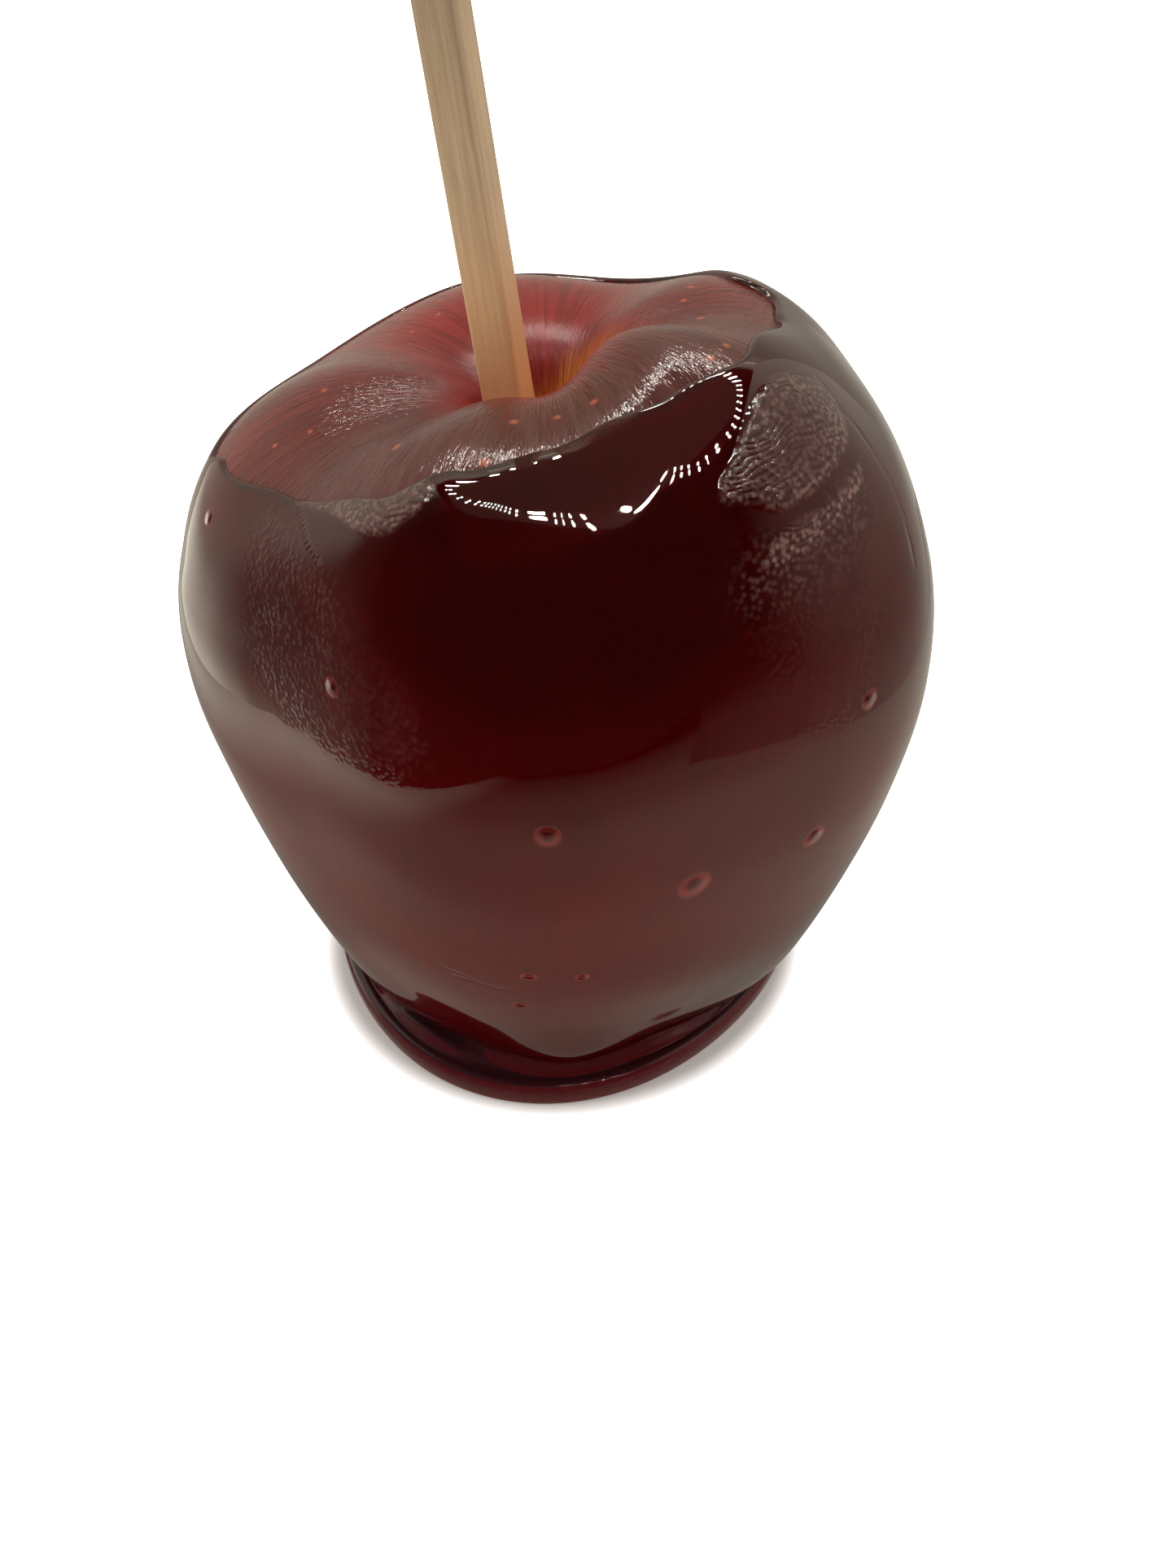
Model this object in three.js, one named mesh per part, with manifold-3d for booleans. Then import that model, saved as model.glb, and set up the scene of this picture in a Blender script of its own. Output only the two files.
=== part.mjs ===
// A toffee apple: a tall, lobed eating apple dipped in hard toffee up to its shoulder. It stands on the
// foot of toffee that ran down and set under it, and a square wooden stick is pushed down its stem cavity.
// Millimetres, +Z up. The origin is the centre of the flat face that it stands on, and -Y is the front.
// An azimuth is in degrees from +X towards +Y. A level runs along the apple's profile, from 0 at its seat,
// over the shoulder and the brow, to 1 at the floor of the stem cavity.
import * as THREE from "three";
import { mergeVertices } from "three/addons/utils/BufferGeometryUtils.js";
import Module from "manifold-3d";

// The outer profile, toffee included: radius and height at evenly spaced levels.
const PROFILE = [
  [19, 0.5], // seat
  [25.7, 4.4],
  [30.6, 13.7],
  [35.4, 25.3],
  [38.9, 37.3],
  [40.7, 49.6], // belly
  [39.4, 62],
  [33.4, 74], // shoulder
  [21.5, 81.2],
  [9, 80], // lip of the stem cavity
  [4.4, 71.5],
  [2.4, 66], // floor of the stem cavity
];
const BODY_CENTRE = [0.8, 0]; // the apple's axis, off the centre of its foot
const CAVITY_SHIFT = { from: 0.8, over: 0.05, by: [1, 0.2] };
const FLOOR_SHIFT = { from: 0.88, over: 0.1, by: [-2.7, -1.4] };

// The lobes: each wave has an order, a size and the azimuth of one of its crests. A band spreads them
// over the levels, about its centre. Brow waves are heights in mm, the others a share of the radius.
const BROW = {
  centre: 0.72,
  spread: 0.2,
  waves: [
    [1, 4.8, -34],
    [2, 0.75, -40],
    [3, 0.3, -41],
    [5, 1.05, 28],
  ],
};
const FLANK = {
  centre: 0.5,
  spread: 0.32,
  waves: [
    [1, 0.023, 56],
    [2, 0.046, -61],
    [3, 0.009, 30],
    [5, 0.032, -26],
  ],
};
const SEAT = {
  centre: 0.12,
  spread: 0.12,
  waves: [
    [1, 0.016, 0],
    [2, 0.025, -1],
    [3, 0.033, -23],
    [5, 0.018, -17],
  ],
};

// The toffee.
const COAT = 1.2; // thickness down the flank
const LIP = 0.5; // thickness where it ends on the shoulder
const LIP_FADE = 0.09; // levels over which the lip thickens to the full coat
const FIT_GAP = 0.3; // clearance that parts pressed together keep here
const EDGE = [
  // azimuth and level of the line on which the toffee ends, all round the shoulder
  [-175, 0.642],
  [-152, 0.668],
  [-123, 0.679],
  [-106, 0.704],
  [-88, 0.719],
  [-74, 0.724],
  [-58, 0.712],
  [-42, 0.707],
  [-26, 0.719],
  [0, 0.704],
  [14, 0.696],
  [26, 0.717],
  [60, 0.7],
  [100, 0.676],
  [140, 0.656],
  [179, 0.626],
];

// The foot of set toffee.
const FOOT_RADIUS = 29.2;
const FOOT_WAVES = [
  [1, 0.3, 122],
  [2, 0.3, -27],
  [3, 1.1, 18],
];
const FOOT_LEVEL = 0.09; // where the foot leaves the body
const RIM_HEIGHT = 3.2;
const RIM_ROUND = 1.7;
const RIM_TUCK = 0.9; // how far the rim draws in under its widest line
const RIM_WIDEST = 1.3; // height of that line
const GROOVE = 0.7; // deepest dip between the body and the rim
const FOLD = { azimuth: -128, halfAngle: 24, height: 1.1 }; // a drip that set over the groove

// Bubbles just under the skin of the toffee: azimuth, level and radius.
const BUBBLES = [
  [-165.5, 0.619, 0.8],
  [-123, 0.561, 0.8],
  [-90.5, 0.494, 1],
  [-71, 0.416, 1.1],
  [-51, 0.409, 0.9],
  [-43, 0.504, 0.9],
];
const BUBBLE_PROUD = 0.4; // share of its radius that a bubble swells the surface

// The stick.
const STICK_SIDE = 4.1;
const STICK_LENGTH = 114;
const STICK_EDGE = 0.25; // softened corners
const STICK_TIP = [3.2, -5, 22.5]; // middle of its lower end, inside the apple
const STICK_LEAN = [-0.096, 0.086]; // travel in X and Y for each mm of height
const STICK_TURN = -18; // azimuth that its narrow visible face looks to

// How finely it is drawn.
const AROUND = 60; // faces round the apple
const BARE_ROWS = 13;
const COAT_ROWS = 20;
const LIP_ROWS = 3;
const FOOT_ROWS = 5;
const RIM_ROWS = 4;
const BUBBLE_FACES = 8;

const SMALL_STEP = 1e-3; // for slopes, in levels and radians
const EDGE_GROOVE = 0.003; // levels between the toffee's edge and the bare skin

const radians = (degrees) => THREE.MathUtils.degToRad(degrees);
const blend = THREE.MathUtils.lerp;
const ease = (x) => THREE.MathUtils.smoothstep(x, 0, 1);
const range = (count) => Array.from({ length: count }, (_, i) => i);

// Sum of [order, size, crest] waves at an azimuth in radians.
function waves(list, azimuth) {
  return list.reduce(
    (sum, [order, size, crest]) => sum + size * Math.cos(order * (azimuth - radians(crest))),
    0,
  );
}

function banded(band, level, azimuth) {
  const weight = Math.exp(-(((level - band.centre) / band.spread) ** 2));
  return weight * waves(band.waves, azimuth);
}

const profile = new THREE.SplineCurve(PROFILE.map(([r, z]) => new THREE.Vector2(r, z)));

// A point of the outer surface, before the toffee's lip is added to it.
function bodyPoint(level, azimuth) {
  const { x: radius, y: height } = profile.getPoint(level);
  const r = radius * (1 + banded(FLANK, level, azimuth) + banded(SEAT, level, azimuth));
  const cavity = 1 / (1 + Math.exp((CAVITY_SHIFT.from - level) / CAVITY_SHIFT.over));
  const floor = ease((level - FLOOR_SHIFT.from) / FLOOR_SHIFT.over);
  const centre = BODY_CENTRE.map((c, i) => c + cavity * CAVITY_SHIFT.by[i] + floor * FLOOR_SHIFT.by[i]);
  return new THREE.Vector3(
    centre[0] + r * Math.cos(azimuth),
    centre[1] + r * Math.sin(azimuth),
    height + banded(BROW, level, azimuth),
  );
}

function bodyNormal(level, azimuth) {
  const low = Math.max(level - SMALL_STEP, 0);
  const high = Math.min(level + SMALL_STEP, 1);
  const along = bodyPoint(high, azimuth).sub(bodyPoint(low, azimuth));
  const round = bodyPoint(level, azimuth + SMALL_STEP).sub(bodyPoint(level, azimuth - SMALL_STEP));
  return round.cross(along).normalize();
}

// The outer surface, moved out along its normal.
function offsetPoint(level, azimuth, distance) {
  return bodyPoint(level, azimuth).addScaledVector(bodyNormal(level, azimuth), distance);
}

// The level at which the toffee ends, eased from each stated point to the next.
function edgeLevel(azimuth) {
  const turn = 360;
  const first = EDGE[0][0];
  const degrees = first + THREE.MathUtils.euclideanModulo(THREE.MathUtils.radToDeg(azimuth) - first, turn);
  const next = EDGE.findIndex(([a]) => a > degrees);
  const [a0, l0] = EDGE.at(next < 0 ? -1 : next - 1);
  const [a1, l1] = next < 0 ? [first + turn, EDGE[0][1]] : EDGE[next];
  return blend(l0, l1, ease((degrees - a0) / (a1 - a0)));
}

// 0 at the toffee's edge, 1 where it has its full thickness.
const fullness = (level, azimuth) => ease((edgeLevel(azimuth) - level) / LIP_FADE);
const skinDepth = (level, azimuth) => COAT * fullness(level, azimuth);
const lipHeight = (level, azimuth) => LIP * (1 - fullness(level, azimuth));

const footRadius = (azimuth) => FOOT_RADIUS + waves(FOOT_WAVES, azimuth);

const AZIMUTHS = range(AROUND).map((i) => (i * 2 * Math.PI) / AROUND);
const ring = (point) => AZIMUTHS.map(point);

// A closed surface over rings of AROUND points each, from its bottom centre to its top centre.
function loft(rings, bottom, top) {
  const points = [bottom, ...rings.flat(), top];
  const last = points.length - 1;
  const at = (row, i) => 1 + row * AROUND + (i % AROUND);
  const faces = [];
  for (let i = 0; i < AROUND; i++) {
    faces.push(0, at(0, i + 1), at(0, i));
    for (let row = 0; row < rings.length - 1; row++) {
      faces.push(at(row, i), at(row, i + 1), at(row + 1, i + 1));
      faces.push(at(row, i), at(row + 1, i + 1), at(row + 1, i));
    }
    faces.push(at(rings.length - 1, i), at(rings.length - 1, i + 1), last);
  }
  return new THREE.BufferGeometry().setFromPoints(points).setIndex(faces);
}

const wasm = await Module();
wasm.setup();

function toSolid(geometry) {
  const bare = geometry.clone();
  bare.deleteAttribute("normal");
  bare.deleteAttribute("uv");
  const merged = mergeVertices(bare);
  return new wasm.Manifold(
    new wasm.Mesh({
      numProp: 3,
      vertProperties: merged.getAttribute("position").array,
      triVerts: new Uint32Array(merged.getIndex().array),
    }),
  );
}

function toGeometry(solid) {
  const { vertProperties, triVerts } = solid.getMesh();
  const geometry = new THREE.BufferGeometry();
  geometry.setAttribute("position", new THREE.BufferAttribute(vertProperties, 3));
  geometry.setIndex(new THREE.BufferAttribute(triVerts, 1));
  geometry.computeVertexNormals();
  return geometry;
}

// The rows of levels that the apple and the toffee on it share, from the foot up to the toffee's edge.
// They close up towards the edge, where the lip is.
function coveredLevel(row, azimuth) {
  const lipLevel = edgeLevel(azimuth) - LIP_FADE;
  const below = COAT_ROWS - LIP_ROWS;
  return row < below
    ? blend(FOOT_LEVEL, lipLevel, row / below)
    : blend(lipLevel, edgeLevel(azimuth), (row - below) / LIP_ROWS);
}

// Rings of the covered skin, this far under the inner face of the toffee.
function coveredRings(gap) {
  const seat = [0, FOOT_LEVEL / 2].map((level) =>
    ring((azimuth) => offsetPoint(level, azimuth, -COAT - gap)),
  );
  const skin = range(COAT_ROWS + 1).map((row) =>
    ring((azimuth) => {
      const level = coveredLevel(row, azimuth);
      return offsetPoint(level, azimuth, -skinDepth(level, azimuth) - gap);
    }),
  );
  return [...seat, ...skin];
}

// Middle of a ring, to close it with flat faces.
function middle(points) {
  return points.reduce((sum, p) => sum.add(p), new THREE.Vector3()).divideScalar(points.length);
}

// The stick's place: its long axis is the local Z of this matrix, and the origin is its lower end.
function stickMatrix() {
  const up = new THREE.Vector3(...STICK_LEAN, 1).normalize();
  const facing = new THREE.Vector3(Math.cos(radians(STICK_TURN)), Math.sin(radians(STICK_TURN)), 0);
  const side = new THREE.Vector3().crossVectors(up, facing).normalize();
  const front = new THREE.Vector3().crossVectors(side, up);
  return new THREE.Matrix4().makeBasis(front, side, up).setPosition(...STICK_TIP);
}

// A square bar along Z with softened corners and ends.
function bar(side, length, softness) {
  const half = side / 2 - softness;
  const outline = new THREE.Shape();
  outline.moveTo(-half, -half);
  outline.lineTo(half, -half);
  outline.lineTo(half, half);
  outline.lineTo(-half, half);
  outline.closePath();
  return new THREE.ExtrudeGeometry(outline, {
    depth: length - 2 * softness,
    bevelSize: softness,
    bevelThickness: softness,
    bevelSegments: 2,
    curveSegments: 2,
  }).translate(0, 0, softness);
}

// The apple: bare from the toffee's edge over the brow and down the cavity, and set back by the fit
// gap where the toffee covers it. The stick's hole is blind.
function appleGeometry() {
  const bare = range(BARE_ROWS + 1).map((row) =>
    ring((azimuth) => bodyPoint(blend(edgeLevel(azimuth) + 2 * EDGE_GROOVE, 1, row / BARE_ROWS), azimuth)),
  );
  const underEdge = ring((azimuth) => offsetPoint(edgeLevel(azimuth) + EDGE_GROOVE, azimuth, -FIT_GAP));
  const rings = [...coveredRings(FIT_GAP), underEdge, ...bare];
  const body = toSolid(loft(rings, middle(rings[0]), middle(rings.at(-1))));
  const holeSide = STICK_SIDE + 2 * FIT_GAP;
  const hole = bar(holeSide, STICK_LENGTH, STICK_EDGE).translate(0, 0, -FIT_GAP);
  return toGeometry(body.subtract(toSolid(hole.applyMatrix4(stickMatrix()))));
}

// Height that the set drip adds to the foot at an azimuth.
function foldHeight(azimuth) {
  const away = THREE.MathUtils.euclideanModulo(azimuth - radians(FOLD.azimuth) + Math.PI, 2 * Math.PI) - Math.PI;
  return FOLD.height * ease(1 - Math.abs(away) / radians(FOLD.halfAngle));
}

// The toffee's foot: from the body it dips into a groove, rises to the rim, rounds over and tucks in
// to the flat face below. Each ring is one step out along that section.
function footRings() {
  const polar = (r, azimuth, z) => new THREE.Vector3(r * Math.cos(azimuth), r * Math.sin(azimuth), z);
  const dip = range(FOOT_ROWS).map((row) =>
    ring((azimuth) => {
      const across = (row + 1) / FOOT_ROWS;
      const join = bodyPoint(FOOT_LEVEL, azimuth);
      const joinRadius = Math.hypot(join.x, join.y);
      const crest = footRadius(azimuth) - RIM_ROUND;
      const room = ease((crest - joinRadius) / (2 * GROOVE));
      const swell = Math.sin(Math.PI * across) ** 2;
      const height = blend(join.z, RIM_HEIGHT, ease(across));
      const relief = foldHeight(azimuth) * swell - GROOVE * Math.sin(Math.PI * across);
      return polar(blend(joinRadius, crest, across), azimuth, height + room * relief);
    }),
  );
  const rim = range(RIM_ROWS).map((row) =>
    ring((azimuth) => {
      const angle = ((row + 1) / RIM_ROWS) * (Math.PI / 2);
      const r = footRadius(azimuth) - RIM_ROUND * (1 - Math.sin(angle));
      return polar(r, azimuth, RIM_WIDEST + (RIM_HEIGHT - RIM_WIDEST) * Math.cos(angle));
    }),
  );
  const base = ring((azimuth) => polar(footRadius(azimuth) - RIM_TUCK, azimuth, 0));
  return [base, ...rim.reverse(), ...dip.reverse()];
}

// The toffee's outer skin, from the flat face under the foot up to the lip.
function outerRings() {
  const skin = range(COAT_ROWS + 1).map((row) =>
    ring((azimuth) => {
      const level = coveredLevel(row, azimuth);
      return offsetPoint(level, azimuth, lipHeight(level, azimuth));
    }),
  );
  return [...footRings(), ...skin];
}

function bubbleSolid([azimuth, level, radius]) {
  const place = offsetPoint(level, radians(azimuth), (BUBBLE_PROUD - 1) * radius);
  const ball = new THREE.SphereGeometry(radius, BUBBLE_FACES, BUBBLE_FACES);
  return toSolid(ball.translate(place.x, place.y, place.z));
}

// The toffee: its outer skin less the covered skin, which leaves a cup round the apple. The bubbles
// are cut back to the cup's inner face.
function toffeeGeometry() {
  const outer = outerRings();
  const inner = coveredRings(0);
  const rings = [...outer, ...inner.reverse()];
  const cup = toSolid(loft(rings, new THREE.Vector3(), middle(rings.at(-1))));
  const core = toSolid(loft(coveredRings(0), middle(coveredRings(0)[0]), middle(coveredRings(0).at(-1))));
  const bubbles = BUBBLES.map((bubble) => bubbleSolid(bubble).subtract(core));
  return toGeometry(bubbles.reduce((sum, bubble) => sum.add(bubble), cup));
}

function part(name, geometry, color, roughness) {
  const mesh = new THREE.Mesh(geometry, new THREE.MeshStandardMaterial({ color, roughness, metalness: 0 }));
  mesh.name = name;
  return mesh;
}

const stick = part("stick", bar(STICK_SIDE, STICK_LENGTH, STICK_EDGE), 0xa98b63, 0.7);
stick.applyMatrix4(stickMatrix());

const toffeeApple = new THREE.Group();
toffeeApple.add(
  part("apple", appleGeometry(), 0x7d2a26, 0.45),
  part("toffee_coat", toffeeGeometry(), 0x3d0608, 0.08),
  stick,
);

export default toffeeApple;
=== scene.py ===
"""Looks of the toffee apple: a bare lobed apple, dipped in clear dark red toffee, on a square stick.

The shapes repeat part.mjs, finer, in millimetres until they become meshes. A level runs along the
apple's profile from its seat, 0, to the floor of the stem cavity, 1. An azimuth turns from +X towards +Y.
"""
import math

import bmesh
import bpy
import numpy as np
from mathutils import Matrix, Vector


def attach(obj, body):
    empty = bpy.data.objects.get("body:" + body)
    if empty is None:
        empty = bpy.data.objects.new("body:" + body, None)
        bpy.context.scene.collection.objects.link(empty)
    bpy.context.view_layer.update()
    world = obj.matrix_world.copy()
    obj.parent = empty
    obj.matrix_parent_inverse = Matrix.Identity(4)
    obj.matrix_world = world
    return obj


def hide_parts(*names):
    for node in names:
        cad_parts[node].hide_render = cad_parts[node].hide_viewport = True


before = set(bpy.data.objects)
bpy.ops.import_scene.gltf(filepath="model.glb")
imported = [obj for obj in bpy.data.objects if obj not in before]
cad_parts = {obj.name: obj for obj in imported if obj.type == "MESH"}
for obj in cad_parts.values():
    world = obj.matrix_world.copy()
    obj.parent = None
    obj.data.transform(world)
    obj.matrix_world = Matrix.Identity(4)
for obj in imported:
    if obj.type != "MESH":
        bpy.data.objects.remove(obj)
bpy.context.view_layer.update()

MM = 0.001

# ---------------------------------------------------------------- the form, as in part.mjs unless noted
PROFILE = np.array([
    [19, 0.5], [25.7, 4.4], [30.6, 13.7], [35.4, 25.3], [38.9, 37.3], [40.7, 49.6],
    [39.4, 62], [33.4, 74], [21.5, 81.2], [9, 80], [4.4, 71.5], [2.4, 66],
])
BODY_CENTRE = (0.8, 0)
CAVITY_SHIFT = {"start": 0.8, "over": 0.05, "by": (1, 0.2)}
FLOOR_SHIFT = {"start": 0.88, "over": 0.1, "by": (-2.7, -1.4)}
# Bands of the profile that rise or swell in waves: turns round, size, and the azimuth of the crest.
BROW = {
    "centre": 0.72, "spread": 0.2,
    "waves": [(1, 4.8, -34), (2, 0.75, -40), (3, 0.3, -41), (5, 1.05, 28)],
}
FLANK = {
    "centre": 0.5, "spread": 0.32,
    "waves": [(1, 0.023, 56), (2, 0.046, -61), (3, 0.009, 30), (5, 0.032, -26)],
}
SEAT = {
    "centre": 0.12, "spread": 0.12,
    "waves": [(1, 0.016, 0), (2, 0.025, -1), (3, 0.033, -23), (5, 0.018, -17)],
}
# Finer than part.mjs: the base bulges towards the front. Azimuth, half angle, height in mm.
BULGES = [(-96, 36, 1.3), (-90, 12, 0.9)]
BULGE_LEVEL, BULGE_SPREAD = 0.13, 0.075
COAT, LIP, LIP_FADE = 1.2, 0.5, 0.09
# The toffee's edge, as azimuth and level.
EDGE = np.array([
    [-175, 0.642], [-152, 0.668], [-123, 0.679], [-106, 0.704], [-88, 0.719], [-74, 0.724],
    [-58, 0.712], [-42, 0.707], [-26, 0.719], [0, 0.704], [14, 0.696], [26, 0.717],
    [60, 0.7], [100, 0.676], [140, 0.656], [179, 0.626],
])
FOOT_RADIUS = 29.2
FOOT_WAVES = [(1, 0.3, 122), (2, 0.3, -27), (3, 1.1, 18)]
FOOT_LEVEL = 0.09
# The rim is crisper than in part.mjs, and the middle of its side is upright.
RIM_HEIGHT, RIM_ROUND, RIM_TUCK, RIM_WIDEST, RIM_WALL = 3.2, 1.3, 0.8, 1.1, 0.9
GROOVE = 0.7
FOLD = {"azimuth": -128, "half_angle": 24, "height": 1.1}
# Bubbles: azimuth, level and radius in mm. The fourth and fifth are wider than in part.mjs.
BUBBLES = [
    (-165.5, 0.619, 0.8), (-123, 0.561, 0.8), (-90.5, 0.494, 1),
    (-71, 0.416, 1.4), (-51, 0.409, 1.1), (-43, 0.504, 0.9),
]
FAINT_BUBBLES = [(-95, 0.331, 0.7), (-87, 0.328, 0.6), (-97.5, 0.271, 0.6)]  # too low for part.mjs
STICK_SIDE, STICK_LENGTH, STICK_EDGE = 4.1, 114, 0.25
STICK_TIP = (3.2, -5, 22.5)
STICK_LEAN = (-0.096, 0.086)
STICK_TURN = -18
SMALL_STEP = 1e-3  # for slopes, in levels and radians

# Patches where the toffee wrinkled as it set, as outlines of (azimuth, level): films with a sharp edge,
# and fields of fine pebbles round them. Creases are open lines.
FILMS = [
    [(-60.5, 0.651), (-56.5, 0.642), (-51.5, 0.6295), (-43.5, 0.63), (-36, 0.638), (-32, 0.646),
     (-29, 0.66), (-28, 0.671), (-29.5, 0.683), (-34, 0.691), (-40, 0.694), (-45, 0.69), (-51, 0.68),
     (-55, 0.67), (-59.5, 0.662)],
    [(-146, 0.668), (-143.5, 0.68), (-132.5, 0.688), (-121, 0.694), (-111, 0.7), (-108.5, 0.687),
     (-111.5, 0.672), (-115.5, 0.661), (-122, 0.658), (-131, 0.665), (-139, 0.667)],
    [(-34, 0.634), (-33.5, 0.626), (-36, 0.617), (-42.5, 0.61), (-48.5, 0.605), (-54, 0.604), (-57.5, 0.611),
     (-56, 0.62), (-51, 0.6255), (-45, 0.624), (-39, 0.628)],
]
CREASES = [
    [(-28.5, 0.682), (-28.5, 0.674), (-29, 0.662), (-28, 0.642), (-27.5, 0.612), (-27.5, 0.586),
     (-28.5, 0.561)],
    [(-146.5, 0.672), (-140, 0.662), (-134, 0.644), (-130, 0.637)],
    [(-110, 0.314), (-104, 0.31)], [(-108, 0.304), (-99, 0.302)],
]
FIELDS = [
    [(-60, 0.628), (-50, 0.622), (-37, 0.636), (-33, 0.625), (-35, 0.571), (-38, 0.536), (-41, 0.5),
     (-50, 0.485), (-59, 0.53), (-65, 0.58), (-66, 0.612)],
    [(-155, 0.66), (-146, 0.668), (-137, 0.655), (-130, 0.636), (-119, 0.634), (-116, 0.605),
     (-104, 0.562), (-106, 0.526), (-118, 0.505), (-133, 0.51), (-144, 0.54), (-149, 0.6)],
]
MM_PER_DEGREE, MM_PER_LEVEL = 0.63, 143  # on the shoulder, where these lie
FLAT_SCALE = np.array([MM_PER_DEGREE, MM_PER_LEVEL])
PATCH_REACH = 6  # mm from an outline or a crease within which the meshes know of it
LOOP_STEPS = 6  # points that a smooth loop has for each stated one

# Pale spots of the skin that the photo shows: azimuth, level, radius in mm.
SPOTS = [
    (-179.5, 0.727, 0.45), (-165, 0.712, 0.4), (-167.5, 0.687, 0.4), (-129.5, 0.727, 0.65),
    (-101.5, 0.719, 0.7), (-97, 0.759, 0.6), (-84, 0.757, 0.5), (130.5, 0.737, 0.4), (121, 0.739, 0.4),
    (22, 0.757, 0.5), (12.5, 0.769, 0.45), (-6, 0.764, 0.6), (-38, 0.727, 0.5), (-45, 0.724, 0.6),
    (-73, 0.754, 0.55), (-89.5, 0.629, 0.8), (-49.5, 0.647, 0.8), (-104, 0.64, 0.7), (-62, 0.575, 0.7),
]

# ---------------------------------------------------------------- how finely it is drawn here
AROUND = 320
SKIN_ROWS = 150  # of the coat, foot to lip
UNDER_ROWS = 40  # of the coat's inner face
COVERED_ROWS = 90  # of the apple under the coat
BARE_ROWS = 130
FOOT_ROWS, RIM_ROWS, TUCK_ROWS, LIP_ROWS = 26, 10, 5, 6
STICK_ROWS, STICK_CORNER_STEPS = 80, 5
ROW_CROWDING = 0.06  # how far the middle row moves towards the edge, as a share of them all
SEAT_SHARES = np.array([0, 0.45, 0.75])  # of the foot's level, for the apple's rows inside it
INNER_SHARE = 0.4  # of the foot's level, where the coat's inner face closes
EMBED = 0.35  # how far the toffee's inner face lies inside the apple, so that no air is between them
LIP_ROUND = 0.005  # levels over which the lip rounds down to the skin
LIP_EMBED = 0.6  # share of EMBED that the lip reaches
# The stick's ends: the distance from an end, and how far the sides draw in there.
STICK_END = np.array([[0, 0.25], [0.07, 0.08], [0.25, 0]])
STICK_PLAIN = 1.5  # where its plain length starts
MARK_REACH = 3  # radii round a spot or bubble within which the meshes know of it
SWELLS = [(7, 31, 0), (5, -23, 1)]  # slow waves of the toffee: turns round, radians per level, start
SWELL_HEIGHT, SWELL_FADE = 0.04, 0.1  # in mm, and the levels over which it starts above the foot
# The toffee's rolled edge: its crest lies CREST mm below the edge and falls off over these widths.
CREST, BEAD_BELOW, BEAD_ABOVE = 2, 4.5, 3
BEAD_EVERYWHERE = 0.1
BEADS = [(-98, 24, 0.95), (-52, 20, 0.3), (-12, 22, 0.45), (135, 50, -0.55)]  # azimuth, half angle, height


def ease(x):
    """From 0 to 1 as x does, level at both ends."""
    x = np.clip(x, 0, 1)
    return x * x * (3 - 2 * x)


def waves(parts, azimuth):
    return sum(size * np.cos(order * (azimuth - math.radians(crest))) for order, size, crest in parts)


def banded(band, level, azimuth):
    return np.exp(-(((level - band["centre"]) / band["spread"]) ** 2)) * waves(band["waves"], azimuth)


def turn_from(azimuth, degrees):
    """Degrees round from a direction, between -180 and 180."""
    return np.mod(np.degrees(azimuth) - degrees + 180, 360) - 180


def humps(parts, azimuth):
    """A sum of rounded humps over the azimuth, each a middle, a half angle and a height."""
    return sum(
        height * np.exp(-((turn_from(azimuth, middle) / half_angle) ** 2))
        for middle, half_angle, height in parts
    )


def bulge(level, azimuth):
    return humps(BULGES, azimuth) * np.exp(-(((level - BULGE_LEVEL) / BULGE_SPREAD) ** 2))


def profile(level):
    """Radius and height, on the same uniform Catmull-Rom curve as three.js's SplineCurve."""
    last = len(PROFILE) - 1
    place = np.clip(level, 0, 1) * last
    i = np.floor(place).astype(int)
    t = (place - i)[..., None]
    before, here, after, beyond = (PROFILE[np.clip(i + k, 0, last)] for k in (-1, 0, 1, 2))
    v0, v1 = (after - before) / 2, (beyond - here) / 2
    cubic = 2 * here - 2 * after + v0 + v1
    square = 3 * after - 3 * here - 2 * v0 - v1
    curve = cubic * t**3 + square * t**2 + v0 * t + here
    return curve[..., 0], curve[..., 1]


def body_point(level, azimuth):
    level, azimuth = np.broadcast_arrays(np.asarray(level, float), np.asarray(azimuth, float))
    radius, height = profile(level)
    r = radius * (1 + banded(FLANK, level, azimuth) + banded(SEAT, level, azimuth)) + bulge(level, azimuth)
    cavity = 1 / (1 + np.exp((CAVITY_SHIFT["start"] - level) / CAVITY_SHIFT["over"]))
    floor = ease((level - FLOOR_SHIFT["start"]) / FLOOR_SHIFT["over"])
    x, y = (BODY_CENTRE[k] + cavity * CAVITY_SHIFT["by"][k] + floor * FLOOR_SHIFT["by"][k] for k in (0, 1))
    return np.stack(
        [x + r * np.cos(azimuth), y + r * np.sin(azimuth), height + banded(BROW, level, azimuth)], -1
    )


def body_normal(level, azimuth):
    higher, lower = np.minimum(level + SMALL_STEP, 1), np.maximum(level - SMALL_STEP, 0)
    upward = body_point(higher, azimuth) - body_point(lower, azimuth)
    around = body_point(level, azimuth + SMALL_STEP) - body_point(level, azimuth - SMALL_STEP)
    normal = np.cross(around, upward)
    return normal / np.linalg.norm(normal, axis=-1, keepdims=True)


def offset_point(level, azimuth, distance):
    return body_point(level, azimuth) + np.asarray(distance)[..., None] * body_normal(level, azimuth)


def edge_level(azimuth):
    """The level at which the toffee ends, eased from each stated point to the next."""
    first = EDGE[0, 0]
    stops = np.vstack([EDGE, [first + 360, EDGE[0, 1]]])
    degrees = first + np.mod(np.degrees(azimuth) - first, 360)
    i = np.clip(np.searchsorted(stops[:, 0], degrees, side="right") - 1, 0, len(EDGE) - 1)
    share = ease((degrees - stops[i, 0]) / (stops[i + 1, 0] - stops[i, 0]))
    return stops[i, 1] + (stops[i + 1, 1] - stops[i, 1]) * share


def fullness(level, azimuth):
    """0 at the toffee's edge, 1 where it has its full thickness."""
    return ease((edge_level(azimuth) - level) / LIP_FADE)


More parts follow.
